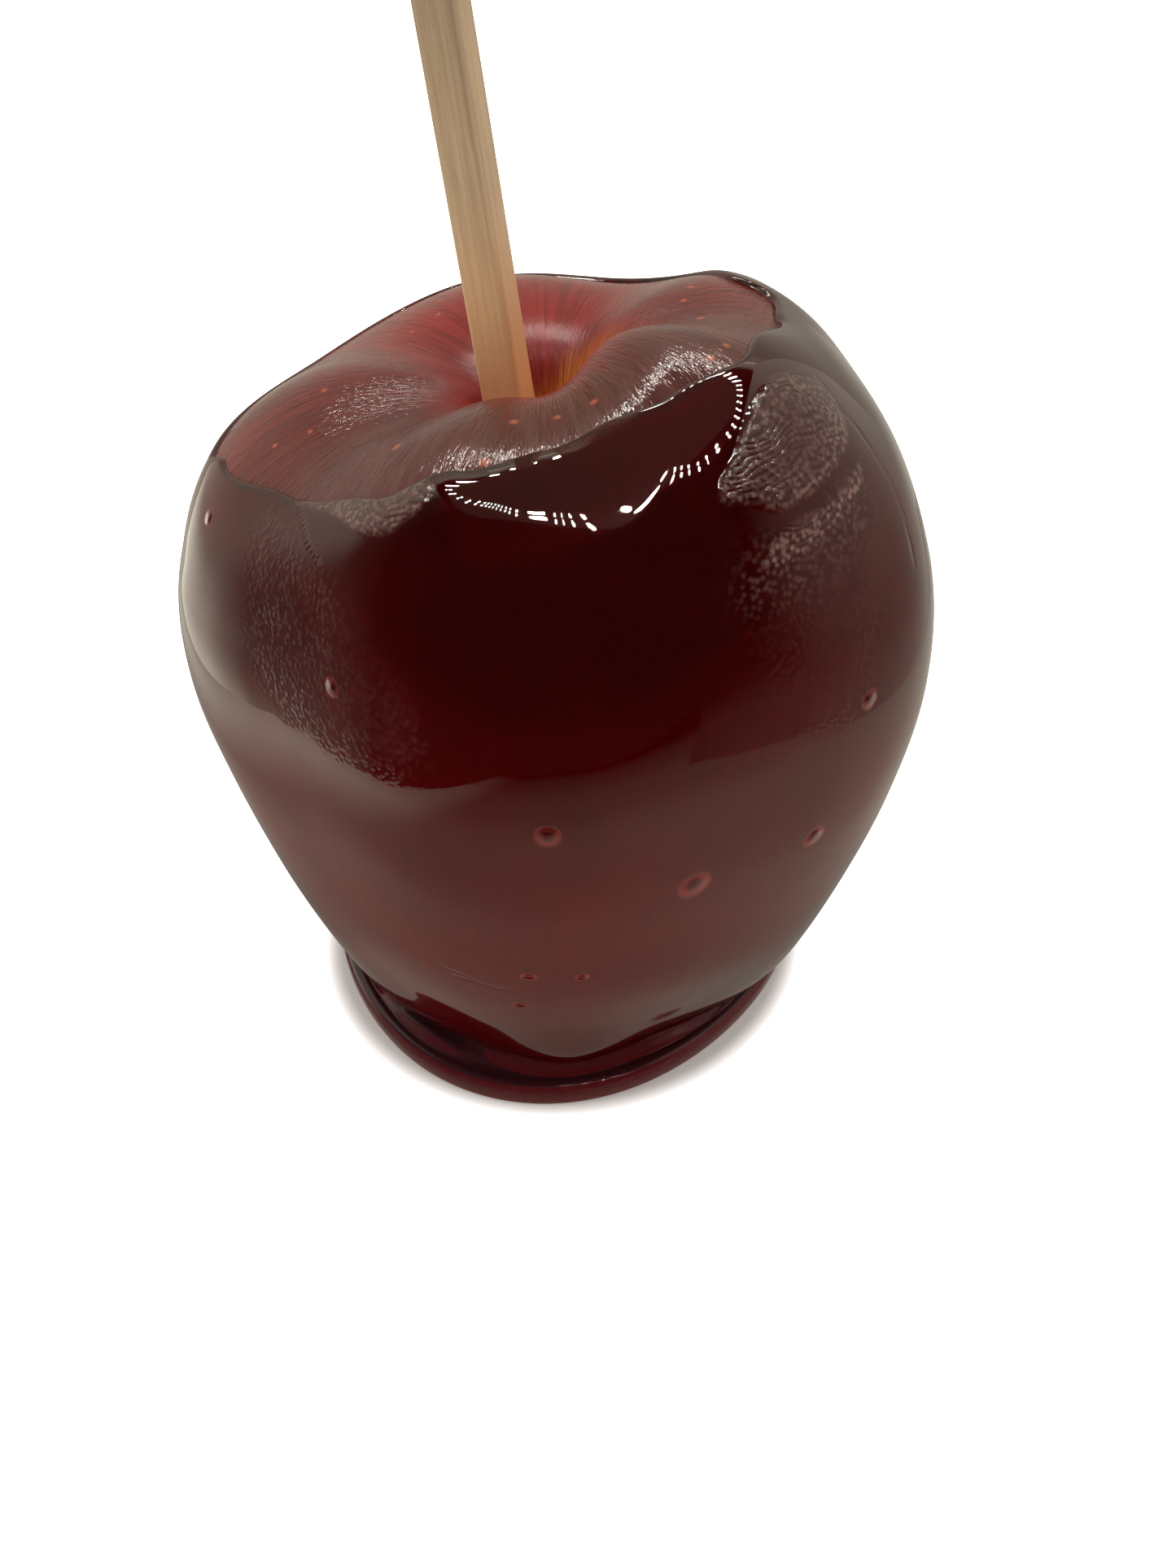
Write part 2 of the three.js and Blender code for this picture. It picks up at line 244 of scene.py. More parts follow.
def foot_radius(azimuth):
    return FOOT_RADIUS + waves(FOOT_WAVES, azimuth)


AZIMUTHS = np.arange(AROUND) * 2 * math.pi / AROUND


def covered_levels(rows):
    """Rows of levels from the foot to the toffee's edge, closer together towards the edge."""
    share = np.linspace(0, 1, rows + 1)
    share = share + ROW_CROWDING * np.sin(math.pi * share)
    return FOOT_LEVEL + share[:, None] * (edge_level(AZIMUTHS) - FOOT_LEVEL)


def polar(r, azimuth, z):
    r, azimuth, z = np.broadcast_arrays(r, azimuth, z)
    return np.stack([r * np.cos(azimuth), r * np.sin(azimuth), z], -1)


def fold_height(azimuth):
    return FOLD["height"] * ease(1 - np.abs(turn_from(azimuth, FOLD["azimuth"])) / FOLD["half_angle"])


def foot_rings():
    """The foot from the flat face it stands on, over the rim and the groove, to the body."""
    across = (np.arange(FOOT_ROWS) + 1)[:, None] / FOOT_ROWS
    join = body_point(FOOT_LEVEL, AZIMUTHS)
    join_radius = np.hypot(join[:, 0], join[:, 1])
    crest = foot_radius(AZIMUTHS) - RIM_ROUND
    room = ease((crest - join_radius) / (2 * GROOVE))
    height = join[:, 2] + (RIM_HEIGHT - join[:, 2]) * ease(across)
    relief = fold_height(AZIMUTHS) * np.sin(math.pi * across) ** 2 - GROOVE * np.sin(math.pi * across)
    dip = polar(join_radius + (crest - join_radius) * across, AZIMUTHS, height + room * relief)
    angle = (np.arange(RIM_ROWS) + 1)[:, None] / RIM_ROWS * math.pi / 2
    rim = polar(
        foot_radius(AZIMUTHS) - RIM_ROUND * (1 - np.sin(angle)),
        AZIMUTHS,
        RIM_WIDEST + RIM_WALL + (RIM_HEIGHT - RIM_WIDEST - RIM_WALL) * np.cos(angle),
    )
    under = np.linspace(0, 1, TUCK_ROWS + 1)[:-1, None] * math.pi / 2
    tuck = polar(
        foot_radius(AZIMUTHS) - RIM_TUCK * (1 - np.sin(under)),
        AZIMUTHS,
        RIM_WIDEST * (1 - np.cos(under)),
    )
    return np.concatenate([tuck, rim[::-1], dip[::-1]])


def new_thing(name, data):
    thing = bpy.data.objects.new(name, data)
    bpy.context.scene.collection.objects.link(thing)
    return thing


def new_mesh(name, points, faces):
    mesh = bpy.data.meshes.new(name)
    mesh.from_pydata(points, [], faces)
    return mesh


def smooth(mesh):
    mesh.polygons.foreach_set("use_smooth", [True] * len(mesh.polygons))


def at(row, k):
    """A point's number in a mesh of rings, after the middle point of the first ring."""
    return 1 + row * AROUND + k % AROUND


def grid_mesh(name, rings, bottom, top, attributes):
    """A closed smooth mesh over rings of AROUND points, with a middle point at each end."""
    rows = len(rings)
    points = np.concatenate([[bottom], rings.reshape(-1, 3), [top]]) * MM
    row, i = np.meshgrid(np.arange(rows - 1), np.arange(AROUND), indexing="ij")
    quads = np.stack([at(row, i), at(row, i + 1), at(row + 1, i + 1), at(row + 1, i)], -1).reshape(-1, 4)
    final = rows - 1
    first_fan = [(0, at(0, k + 1), at(0, k)) for k in range(AROUND)]
    last_fan = [(at(final, k), at(final, k + 1), len(points) - 1) for k in range(AROUND)]
    mesh = new_mesh(name, points.tolist(), quads.tolist() + first_fan + last_fan)
    smooth(mesh)
    for label, values in attributes:
        values = np.asarray(values, float)
        kind, width = ("FLOAT_VECTOR", 3) if values.ndim == 3 else ("FLOAT", 1)
        flat = values.reshape(rows * AROUND, width)
        flat = np.concatenate([flat[:AROUND].mean(0)[None], flat, flat[-AROUND:].mean(0)[None]])
        layer = mesh.attributes.new(label, kind, "POINT")
        layer.data.foreach_set("vector" if width == 3 else "value", flat.ravel())
    mesh.update()
    return new_thing(name, mesh)


def chart(levels):
    """The skin's own coordinates, seamless round the apple: cosine and sine of the azimuth, and level."""
    around = np.broadcast_to(AZIMUTHS, levels.shape)
    return np.stack([np.cos(around), np.sin(around), levels], -1)


def smooth_loop(points):
    """A closed Catmull-Rom curve through the points."""
    points = np.array(points, float)
    t = (np.arange(LOOP_STEPS) / LOOP_STEPS)[:, None]
    out = []
    for i in range(len(points)):
        a, b, c, d = (points[(i + k) % len(points)] for k in (-1, 0, 1, 2))
        cubic, square = -a + 3 * b - 3 * c + d, 2 * a - 5 * b + 4 * c - d
        out.append((cubic * t**3 + square * t**2 + (c - a) * t) / 2 + b)
    return np.concatenate(out)


def flat_places(levels):
    """The grid's points on the shoulder as if it were rolled out flat, in mm: round from +X, and up."""
    return np.stack([np.broadcast_to(turn_from(AZIMUTHS, 0), levels.shape), levels], -1) * FLAT_SCALE


def segment_distance(places, start, side):
    share = np.clip((places - start) @ side / (side @ side), 0, 1)
    return np.linalg.norm(places - start - share[..., None] * side, axis=-1)


def inside_distance(outline, levels):
    """Distance in mm from the grid's points to an outline on the skin, positive inside it."""
    places = flat_places(levels)
    loop = smooth_loop(outline) * FLAT_SCALE
    nearest = np.full(levels.shape, np.inf)
    inside = np.zeros(levels.shape, bool)
    for start, end in zip(loop, np.roll(loop, -1, 0)):
        side = end - start
        nearest = np.minimum(nearest, segment_distance(places, start, side))
        if end[1] != start[1]:
            crosses = (start[1] > places[..., 1]) != (end[1] > places[..., 1])
            at_height = start[0] + (places[..., 1] - start[1]) * side[0] / side[1]
            inside ^= crosses & (places[..., 0] < at_height)
    return np.where(inside, nearest, -nearest)


def patch_distance(outlines, levels):
    """Distance in mm into the nearest of the outlines, negative outside them all."""
    nearest = np.max([inside_distance(outline, levels) for outline in outlines], 0)
    return np.clip(nearest, -PATCH_REACH, PATCH_REACH)


def line_distance(lines, levels):
    """Distance in mm from the grid's points to the nearest of the open lines on the skin."""
    places = flat_places(levels)
    nearest = np.full(levels.shape, PATCH_REACH, float)
    for line in lines:
        line = np.array(line) * FLAT_SCALE
        for start, side in zip(line[:-1], np.diff(line, axis=0)):
            nearest = np.minimum(nearest, segment_distance(places, start, side))
    return nearest


def nearest_mark(points, marks):
    """For points in mm, the centre and the radius in metres of the mark that each is near, if any."""
    centres = np.array([body_point(level, math.radians(azimuth)) for azimuth, level, _ in marks])
    radii = np.array([radius for *_, radius in marks])
    away = np.linalg.norm(points[..., None, :] - centres, axis=-1)
    which = away.argmin(-1)
    near = away.min(-1) < MARK_REACH * radii[which]
    return np.where(near[..., None], centres[which], 0) * MM, np.where(near, radii[which], 1) * MM


def make_fruit():
    """The apple up to its cavity's floor, thinner by the coat where the toffee covers it."""
    seat = SEAT_SHARES[:, None] * FOOT_LEVEL + 0 * AZIMUTHS
    covered = covered_levels(COVERED_ROWS)
    edge = edge_level(AZIMUTHS)
    bare = edge + np.linspace(0, 1, BARE_ROWS + 1)[1:, None] * (1 - edge)
    levels = np.concatenate([seat, covered, bare])
    depth = np.where(levels < edge, COAT * fullness(levels, AZIMUTHS), 0)
    rings = offset_point(levels, AZIMUTHS, -depth)
    centre, radius = nearest_mark(body_point(levels, AZIMUTHS), SPOTS)
    return grid_mesh(
        "fruit", rings, rings[0].mean(0), rings[-1].mean(0),
        [("skin", chart(levels)), ("bare", levels - edge), ("mark_centre", centre), ("mark_radius", radius)],
    )


def bead(levels, azimuths):
    """Height in mm that the rolled edge adds: most just left of the front, and a dip at the back left."""
    below = (edge_level(azimuths) - levels) * MM_PER_LEVEL - CREST
    across = np.exp(-((below / np.where(below > 0, BEAD_BELOW, BEAD_ABOVE)) ** 2))
    return (BEAD_EVERYWHERE + humps(BEADS, azimuths)) * across


def swell(levels, azimuths):
    """Height in mm of the slow waves, which fade out at the foot and towards the edge."""
    share = ease((levels - FOOT_LEVEL) / SWELL_FADE) * fullness(levels, azimuths)
    rise = sum(np.cos(turns * azimuths + climb * levels + start) for turns, climb, start in SWELLS)
    return SWELL_HEIGHT * share * rise


def make_coat():
    """The toffee: the foot, the skin, the lip, and the inner face down again."""
    levels = covered_levels(SKIN_ROWS)
    edge = edge_level(AZIMUTHS)
    height = LIP * (1 - fullness(levels, AZIMUTHS)) + bead(levels, AZIMUTHS) + swell(levels, AZIMUTHS)
    skin = offset_point(levels, AZIMUTHS, height)
    turn = (np.arange(LIP_ROWS) + 1)[:, None] / LIP_ROWS * math.pi / 2
    lip_levels = edge + LIP_ROUND * np.sin(turn)
    top = LIP + bead(edge, AZIMUTHS)
    lip = offset_point(lip_levels, AZIMUTHS, top * np.cos(turn) - EMBED * (1 - np.cos(turn)) * LIP_EMBED)
    foot = foot_rings()
    inner_levels = np.concatenate([[INNER_SHARE * FOOT_LEVEL + 0 * AZIMUTHS], covered_levels(UNDER_ROWS)])
    depth = COAT * fullness(inner_levels, AZIMUTHS) + EMBED
    inner = offset_point(inner_levels, AZIMUTHS, -depth)[::-1]
    all_levels = np.concatenate([np.zeros(foot.shape[:2]), levels, lip_levels, inner_levels[::-1]])
    rings = np.concatenate([foot, skin, lip, inner])
    centre, radius = nearest_mark(rings, BUBBLES + FAINT_BUBBLES)
    return grid_mesh(
        "toffee_shell", rings, np.zeros(3), inner[-1].mean(0),
        [
            ("skin", chart(all_levels)),
            ("film", patch_distance(FILMS, all_levels)),
            ("field", patch_distance(FIELDS, all_levels)),
            ("crease", line_distance(CREASES, all_levels)),
            ("mark_centre", centre),
            ("mark_radius", radius),
        ],
    )


def stick_matrix():
    up = Vector((*STICK_LEAN, 1)).normalized()
    turn = math.radians(STICK_TURN)
    side = up.cross(Vector((math.cos(turn), math.sin(turn), 0))).normalized()
    front = side.cross(up)
    basis = Matrix((front, side, up)).transposed().to_4x4()
    basis.translation = Vector(STICK_TIP) * MM
    return basis


def stick_outline():
    """The stick's square section with its softened corners, as points round it."""
    inset = STICK_SIDE / 2 - STICK_EDGE
    outline = []
    for corner in range(4):
        middle = math.radians(90 * corner + 45)
        cx, cy = math.copysign(inset, math.cos(middle)), math.copysign(inset, math.sin(middle))
        for step in range(STICK_CORNER_STEPS + 1):
            a = math.radians(90 * corner + 90 * step / STICK_CORNER_STEPS)
            outline.append((cx + STICK_EDGE * math.cos(a), cy + STICK_EDGE * math.sin(a)))
    return outline


def make_stick():
    """A square bar with rounded edges, drawn in a little at both ends."""
    outline = stick_outline()
    count = len(outline)
    from_end, drawn_in = STICK_END.T
    plain = np.linspace(STICK_PLAIN, STICK_LENGTH - STICK_PLAIN, STICK_ROWS)
    heights = np.concatenate([from_end, plain, STICK_LENGTH - from_end[::-1]])
    widths = 1 - np.concatenate([drawn_in, 0 * plain, drawn_in[::-1]]) / (STICK_SIDE / 2)
    rings = [[(x * width, y * width, z) for x, y in outline] for z, width in zip(heights, widths)]
    points = (np.concatenate(rings) * MM).tolist()
    faces = []
    for low in range(0, len(points) - count, count):
        for k in range(count):
            after = (k + 1) % count
            faces.append((low + k, low + after, low + count + after, low + count + k))
    faces.append(tuple(reversed(range(count))))
    faces.append(tuple(range(len(points) - count, len(points))))
    mesh = new_mesh("wooden_stick", points, faces)
    smooth(mesh)
    thing = new_thing("wooden_stick", mesh)
    thing.matrix_world = stick_matrix()
    return thing


# ---------------------------------------------------------------- camera
CAMERA = (4.243, -148.572, 155.357)  # mm
PITCH, ROLL = 41.409, 2.526  # degrees down from level, and round the line of sight
FOCAL_PX, PHOTO_LONG_SIDE, SENSOR = 2000, 1927, 36.0  # in pixels, in pixels, in mm
CLIP = (0.005, 20)  # m


def make_camera():
    data = bpy.data.cameras.new("camera")
    data.sensor_width = SENSOR
    data.lens = FOCAL_PX / PHOTO_LONG_SIDE * SENSOR
    data.clip_start, data.clip_end = CLIP
    p, r = math.radians(PITCH), math.radians(ROLL)
    ahead = Vector((0, math.cos(p), -math.sin(p)))
    level_up, level_right = Vector((0, math.sin(p), math.cos(p))), Vector((1, 0, 0))
    up = level_up * math.cos(r) + level_right * math.sin(r)
    right = level_right * math.cos(r) - level_up * math.sin(r)
    camera = new_thing("camera", data)
    camera.matrix_world = Matrix((right, up, -ahead)).transposed().to_4x4()
    camera.location = Vector(CAMERA) * MM
    bpy.context.scene.camera = camera


# ---------------------------------------------------------------- node helpers
class Nodes:
    """Builds a material's nodes. A value is a number, a colour, a vector, or another node's socket."""

    def __init__(self, made):
        self.tree = made.node_tree
        self.tree.nodes.clear()

    def add(self, kind, **values):
        node = self.tree.nodes.new(kind)
        for key, value in values.items():
            if hasattr(node, key):
                setattr(node, key, value)
            else:
                self.put(node.inputs[key.replace("_", " ")], value)
        return node

    def put(self, socket, value):
        if isinstance(value, bpy.types.NodeSocket):
            self.tree.links.new(value, socket)
        else:
            socket.default_value = value

    def coords(self):
        return self.add("ShaderNodeTexCoord").outputs["Object"]

    def math(self, operation, *values, clamp=False):
        node = self.tree.nodes.new("ShaderNodeMath")
        node.operation, node.use_clamp = operation, clamp
        for socket, value in zip(node.inputs, values):
            self.put(socket, value)
        return node.outputs[0]

    def total(self, *values):
        """The sum of several values."""
        total = values[0]
        for value in values[1:]:
            total = self.math("ADD", total, value)
        return total

    def times(self, a, b):
        return self.math("MULTIPLY", a, b)

    def remap(self, value, low, high, to_low=0.0, to_high=1.0):
        """From one number to another as the value goes from low to high, eased."""
        node = self.tree.nodes.new("ShaderNodeMapRange")
        node.interpolation_type = "SMOOTHSTEP"
        for socket, v in zip(node.inputs, (value, low, high, to_low, to_high)):
            self.put(socket, v)
        return node.outputs[0]

    def stops(self, value, stops):
        """Through stops of (mm, number), for a value in metres."""
        steps = zip(stops, stops[1:])
        rises = [self.remap(value, x0 * MM, x1 * MM, 0.0, y1 - y0) for (x0, y0), (x1, y1) in steps]
        return self.total(stops[0][1], *rises)

    def mix(self, factor, a, b):
        node = self.tree.nodes.new("ShaderNodeMix")
        node.data_type = "RGBA"
        self.put(node.inputs[0], factor)
        self.put(node.inputs[6], a)
        self.put(node.inputs[7], b)
        return node.outputs[2]

    def vector(self, operation, a, b=None, scale=None):
        node = self.tree.nodes.new("ShaderNodeVectorMath")
        node.operation = operation
        self.put(node.inputs[0], a)
        if b is not None:
            self.put(node.inputs[1], b)
        if scale is not None:
            self.put(node.inputs["Scale"], scale)
        gives_number = operation in ("LENGTH", "DISTANCE", "DOT_PRODUCT")
        return node.outputs["Value" if gives_number else "Vector"]

    def noise(self, vector, scale, detail=2.0, roughness=0.5, distortion=0.0):
        node = self.add(
            "ShaderNodeTexNoise",
            Vector=vector, Scale=scale, Detail=detail, Roughness=roughness, Distortion=distortion,
        )
        return node.outputs[0]

    def cells(self, vector, scale):
        """Distance from the middle of the nearest of many uneven cells, in cells."""
        return self.add("ShaderNodeTexVoronoi", Vector=vector, Scale=scale).outputs["Distance"]

    def bump(self, height, distance=1.0, strength=1.0):
        return self.add("ShaderNodeBump", Height=height, Distance=distance, Strength=strength).outputs[0]


def material(name, kind="ShaderNodeBsdfPrincipled"):
    """A new material, the helper for its nodes, its output, and the shader on its surface."""
    made = bpy.data.materials.new(name)
    made.use_nodes = True
    n = Nodes(made)
    out, shader = n.add("ShaderNodeOutputMaterial"), n.add(kind)
    n.put(out.inputs["Surface"], shader.outputs[0])
    return made, n, out, shader


def rgb(r, g, b):
    return (r, g, b, 1.0)


# ---------------------------------------------------------------- materials
def attribute(n, name, output="Fac"):
    return n.add("ShaderNodeAttribute", attribute_name=name).outputs[output]


def mark_distance(n, coords):
    """Distance from the nearest spot or bubble, in its radii."""
    away = n.vector("DISTANCE", coords, attribute(n, "mark_centre", "Vector"))
    return n.math("DIVIDE", away, attribute(n, "mark_radius"))


# The toffee's relief in its material, in metres, so that one bump node takes it all.
RIPPLE_HEIGHT, PEBBLE_HEIGHT, FILM_HEIGHT, FIELD_PEBBLE_HEIGHT = 0.000016, 0.00003, 0.0001, 0.00002
BUBBLE_HEIGHT, CREASE_HEIGHT, UNEVEN_HEIGHT = 0.0004, -0.00005, 0.0001
RIPPLES_PER_LEVEL, RIPPLE_SWIRL, RIPPLE_BREAK = 1700.0, 46.0, 9.0  # radians
TOFFEE_TINT, TOFFEE_DENSITY = (0.79, 0.02, 0.0), 1500
GLOSS_ROUGHNESS, FILM_ROUGHNESS, FIELD_ROUGHNESS = 0.02, 0.13, 0.12
FOOT_CLOUD, BUBBLE_GLOW = 0.08, 0.13  # share of light that the toffee scatters in its foot, and of painted glow in a ring round each bubble


def toffee_material():
    """Clear and dark red. Where it wrinkled, pale specks and ripple lines in its colour are painted glints,
    with more painted light on the left. Films have ripples and pebbles, and fields pebbles.
    """
    made, n, out, shader = material("toffee")
    shader.inputs["IOR"].default_value = 1.5
    coords = n.coords()
    parts = n.add("ShaderNodeSeparateXYZ", Vector=attribute(n, "skin", "Vector"))
    east, _, level = parts.outputs[:3]
    in_film = n.remap(attribute(n, "film"), 0.0, 0.9)
    in_field = n.remap(attribute(n, "field"), -1.5, 3.5)
    swirl = n.noise(coords, 170, 1.0)
    phase = n.total(
        n.times(level, RIPPLES_PER_LEVEL),
        n.times(swirl, RIPPLE_SWIRL),
        n.times(n.noise(coords, 450, 0.0), RIPPLE_BREAK),
    )
    ripples = n.times(n.math("SINE", phase), n.remap(swirl, 0.32, 0.6, 0.3, 1.0))
    pebbles = n.remap(n.cells(coords, 1700), 0.62, 0.22)
    pebbled = n.times(in_field, n.remap(swirl, 0.3, 0.65, 1.0, 0.6))
    away = mark_distance(n, coords)
    film_relief = n.total(n.times(ripples, RIPPLE_HEIGHT), n.times(pebbles, PEBBLE_HEIGHT), FILM_HEIGHT)
    height = n.total(
        n.times(in_film, film_relief),
        n.times(n.times(pebbles, pebbled), FIELD_PEBBLE_HEIGHT),
        n.remap(away, 1.15, 0.1, 0.0, BUBBLE_HEIGHT),
        n.remap(attribute(n, "crease"), 0.6, 0.0, 0.0, CREASE_HEIGHT),
        n.times(n.noise(coords, 110, 1.0), UNEVEN_HEIGHT),
    )
    n.put(shader.inputs["Normal"], n.bump(height))
    rough = n.total(n.times(in_film, FILM_ROUGHNESS), n.times(pebbled, FIELD_ROUGHNESS), GLOSS_ROUGHNESS)
    n.put(shader.inputs["Roughness"], rough)
    # what scatters instead of passing through: a haze in the foot; painted light, more on the left for the
    # brighter reflection there; painted glints as lines along the ripples and specks on the pebbles; and a
    # painted glow round the bubbles
    # painted glow: a paler red ring round each bubble, for the light that it catches
    ring = n.times(n.remap(away, 1.5, 0.95), n.remap(away, 0.35, 0.9))
    foot = n.remap(level, 0.085, 0.03)
    film_painted_light = n.total(
        n.remap(east, 0.2, -0.2, 0.0, 0.06),
        n.remap(ripples, -0.7, 0.7, 0.0, 0.055),
        n.times(pebbles, n.remap(attribute(n, "film"), 3.5, 0.4, 0.08, 0.19)),
    )
    least = n.remap(east, 0.2, -0.2, 0.02, 0.038)
    field_painted_glints = n.times(pebbles, n.remap(attribute(n, "film"), -4.5, -0.3, least, 0.12))
    elsewhere = n.total(n.times(foot, FOOT_CLOUD), n.times(ring, BUBBLE_GLOW))
    haze_and_painted_light = n.total(n.times(in_film, film_painted_light), n.times(pebbled, field_painted_glints), elsewhere)
    n.put(shader.inputs["Transmission Weight"], n.math("SUBTRACT", 1.0, haze_and_painted_light))
    # the colour of the foot's haze and of the painted glints, then the red of the painted glow round the
    # bubbles
    haze_and_glint_colour = n.mix(foot, rgb(0.45, 0.27, 0.21), rgb(0.5, 0.2, 0.25))
    n.put(shader.inputs["Base Color"], n.mix(ring, haze_and_glint_colour, rgb(0.6, 0.06, 0.04)))
    depth = n.add("ShaderNodeVolumeAbsorption")
    depth.inputs["Color"].default_value = rgb(*TOFFEE_TINT)
    depth.inputs["Density"].default_value = TOFFEE_DENSITY
    n.put(out.inputs["Volume"], depth.outputs[0])
    return made


# Noises over the skin's chart: the scale of each across the two that go round, and along the levels.
STREAKS, FINE_STREAKS = (26.0, 26.0, 8.0), (110.0, 110.0, 16.0)
PATCHES, CRINKLES = (7.0, 7.0, 12.0), (55.0, 55.0, 80.0)
BARE_START = -0.004  # the level from the toffee's edge where the skin starts to look bare
CRINKLE_HEIGHT = 0.0001  # m


def bare_colour(n, east, north, level, streak, fine, cloud):
    """The bare skin: lighter and redder towards the back left and down in the cavity and darker on the brow,
    as painted light and shade; greyer on the brow, partly its own waxy grey and partly a painted sheen.
    """
    # painted light and shade: lighter and redder towards the back left and down in the cavity, darker towards
    # the front of the brow
    back_left_share = n.math("SUBTRACT", n.times(north, 0.5), n.times(east, 0.08))
    painted_light_share = n.math("MAXIMUM", n.math("ADD", back_left_share, 0.22, clamp=True), n.remap(level, 0.76, 0.86))
    pattern = n.remap(n.total(n.times(streak, 0.55), n.times(cloud, 0.45)), 0.35, 0.65)
    dark = n.mix(pattern, rgb(0.055, 0.009, 0.009), rgb(0.11, 0.015, 0.012))
    bright = n.mix(pattern, rgb(0.18, 0.012, 0.01), rgb(0.35, 0.025, 0.018))
    red = n.mix(painted_light_share, dark, bright)
    # grey in soft patches, most on the front of the brow: partly the skin's own waxy grey, partly a painted
    # sheen for the reflection of the light box
    patches = n.noise(n.vector("MULTIPLY", attribute(n, "skin", "Vector"), PATCHES), 1.0, 4.0, 0.6, 1.5)
    bloom_and_sheen = n.times(n.remap(patches, 0.3, 0.7, 0.2, 0.55), n.remap(level, 0.83, 0.76))
    bloom_and_sheen = n.times(bloom_and_sheen, n.remap(north, 0.35, -0.9, 0.12, 1.0))
    red = n.mix(bloom_and_sheen, red, rgb(0.12, 0.062, 0.046))
    # russet at the bottom of the cavity, higher up on its right
    right = n.remap(n.total(east, n.times(fine, 0.5)), 0.1, 0.9)
    russet = n.remap(n.total(level, n.times(right, 0.045), n.times(fine, 0.05)), 0.88, 0.935)
    russet_colour = n.mix(n.remap(fine, 0.35, 0.65), rgb(0.42, 0.08, 0.01), rgb(0.6, 0.24, 0.04))
    return n.mix(russet, red, russet_colour)


def covered_colour(n, east, level, streak, cloud):
    """The skin under the toffee: blotched low on the flank, and paler there, most on the left, as painted
    light; dark at the shoulder, as painted shade.
    """
    blotch = n.total(n.times(cloud, 0.78), n.times(streak, 0.22))
    # painted light: paler low on the flank and most on the left, where the bright paper and the left wall
    # light it
    lower = n.times(n.remap(level, 0.56, 0.3), n.remap(n.total(east, cloud), 1.6, -0.2, 0.45, 1.0))
    red = n.mix(n.remap(cloud, 0.3, 0.7), rgb(0.24, 0.018, 0.018), rgb(0.36, 0.026, 0.018))
    # painted shade: darker towards the shoulder, which faces the dark front of the light box
    red = n.mix(n.remap(level, 0.54, 0.7), red, rgb(0.14, 0.01, 0.009))
    blotched = n.mix(n.remap(blotch, 0.36, 0.62), rgb(0.8, 0.09, 0.04), rgb(1.0, 0.14, 0.055))
    return n.mix(lower, red, blotched)


def skin_material():
    made, n, _, shader = material("apple_skin")
    coords = n.coords()
    skin = attribute(n, "skin", "Vector")
    bare = attribute(n, "bare")
    east, north, level = n.add("ShaderNodeSeparateXYZ", Vector=skin).outputs[:3]
    streak = n.noise(n.vector("MULTIPLY", skin, STREAKS), 1.0, 5.0, 0.62, 0.6)
    fine = n.noise(n.vector("MULTIPLY", skin, FINE_STREAKS), 1.0, 2.0, 0.6)
    cloud = n.noise(coords, 70, 3.0)
    warm = bare_colour(n, east, north, level, streak, fine, cloud)
    under = covered_colour(n, east, level, streak, cloud)
    base = n.mix(n.remap(bare, BARE_START, 0.0), under, warm)
    spot = n.remap(mark_distance(n, coords), 1.1, 0.1, 0.0, 0.7)
    n.put(shader.inputs["Base Color"], n.mix(spot, base, rgb(0.5, 0.12, 0.055)))
    rough = n.total(n.remap(streak, 0.3, 0.7, 0.07, 0.14), n.remap(level, 0.77, 0.82, 0.0, 0.22))
    n.put(shader.inputs["Roughness"], rough)
    shader.inputs["IOR"].default_value = 1.5
    shader.inputs["Specular IOR Level"].default_value = 0.28
    crinkle = n.noise(n.vector("MULTIPLY", skin, CRINKLES), 1.0, 2.0, 0.6)
    n.put(shader.inputs["Normal"], n.bump(n.times(crinkle, n.remap(bare, -0.01, 0.0, 0.0, CRINKLE_HEIGHT))))
    return made


# Noises in the wood: the scale of each for a metre, across the stick both ways, and along it.
GRAIN, FIBRES = (1500.0, 1500.0, 60.0), (6000.0, 6000.0, 350.0)
DARK_LINE_IN = 0.42  # mm that the darker line lies inside the corner, both ways together
GRAIN_HEIGHT = 0.00006  # m


def wood_material():
    """Pale birch, lighter lower down as painted light against the shade of the apple's brow, and soaked
    orange where it enters the apple.
    """
    made, n, _, shader = material("stick_wood")
    coords = n.coords()
    across, through, height = n.add("ShaderNodeSeparateXYZ", Vector=coords).outputs[:3]
    grain = n.noise(n.vector("MULTIPLY", coords, GRAIN), 1.0, 4.0, 0.6)
    fibre = n.noise(n.vector("MULTIPLY", coords, FIBRES), 1.0, 2.0)
    wood = n.mix(n.remap(grain, 0.3, 0.7), rgb(0.205, 0.131, 0.064), rgb(0.275, 0.183, 0.092))
    wood = n.mix(n.remap(fibre, 0.62, 0.75, 0.0, 0.35), wood, rgb(0.2, 0.12, 0.06))
    # a darker line along the edge between the two faces to the front and to the right
    corner = n.math("SUBTRACT", across, through)
    from_line = n.math("ABSOLUTE", n.math("SUBTRACT", corner, (STICK_SIDE - DARK_LINE_IN) * MM))
    wood = n.mix(n.remap(from_line, 0.0003, 0.00005, 0.0, 0.45), wood, rgb(0.13, 0.08, 0.045))
    # painted light: lighter lower down, where the apple's brow shades the stick
    wood = n.mix(n.remap(height, 0.1, 0.062), wood, n.vector("SCALE", wood, scale=1.8))
    soaked = n.times(n.remap(height, 0.078, 0.055), 0.7)
    n.put(shader.inputs["Base Color"], n.mix(soaked, wood, rgb(0.85, 0.42, 0.17)))
    shader.inputs["Roughness"].default_value = 0.6
    n.put(shader.inputs["Normal"], n.bump(n.total(grain, fibre), GRAIN_HEIGHT, 0.8))
    return made


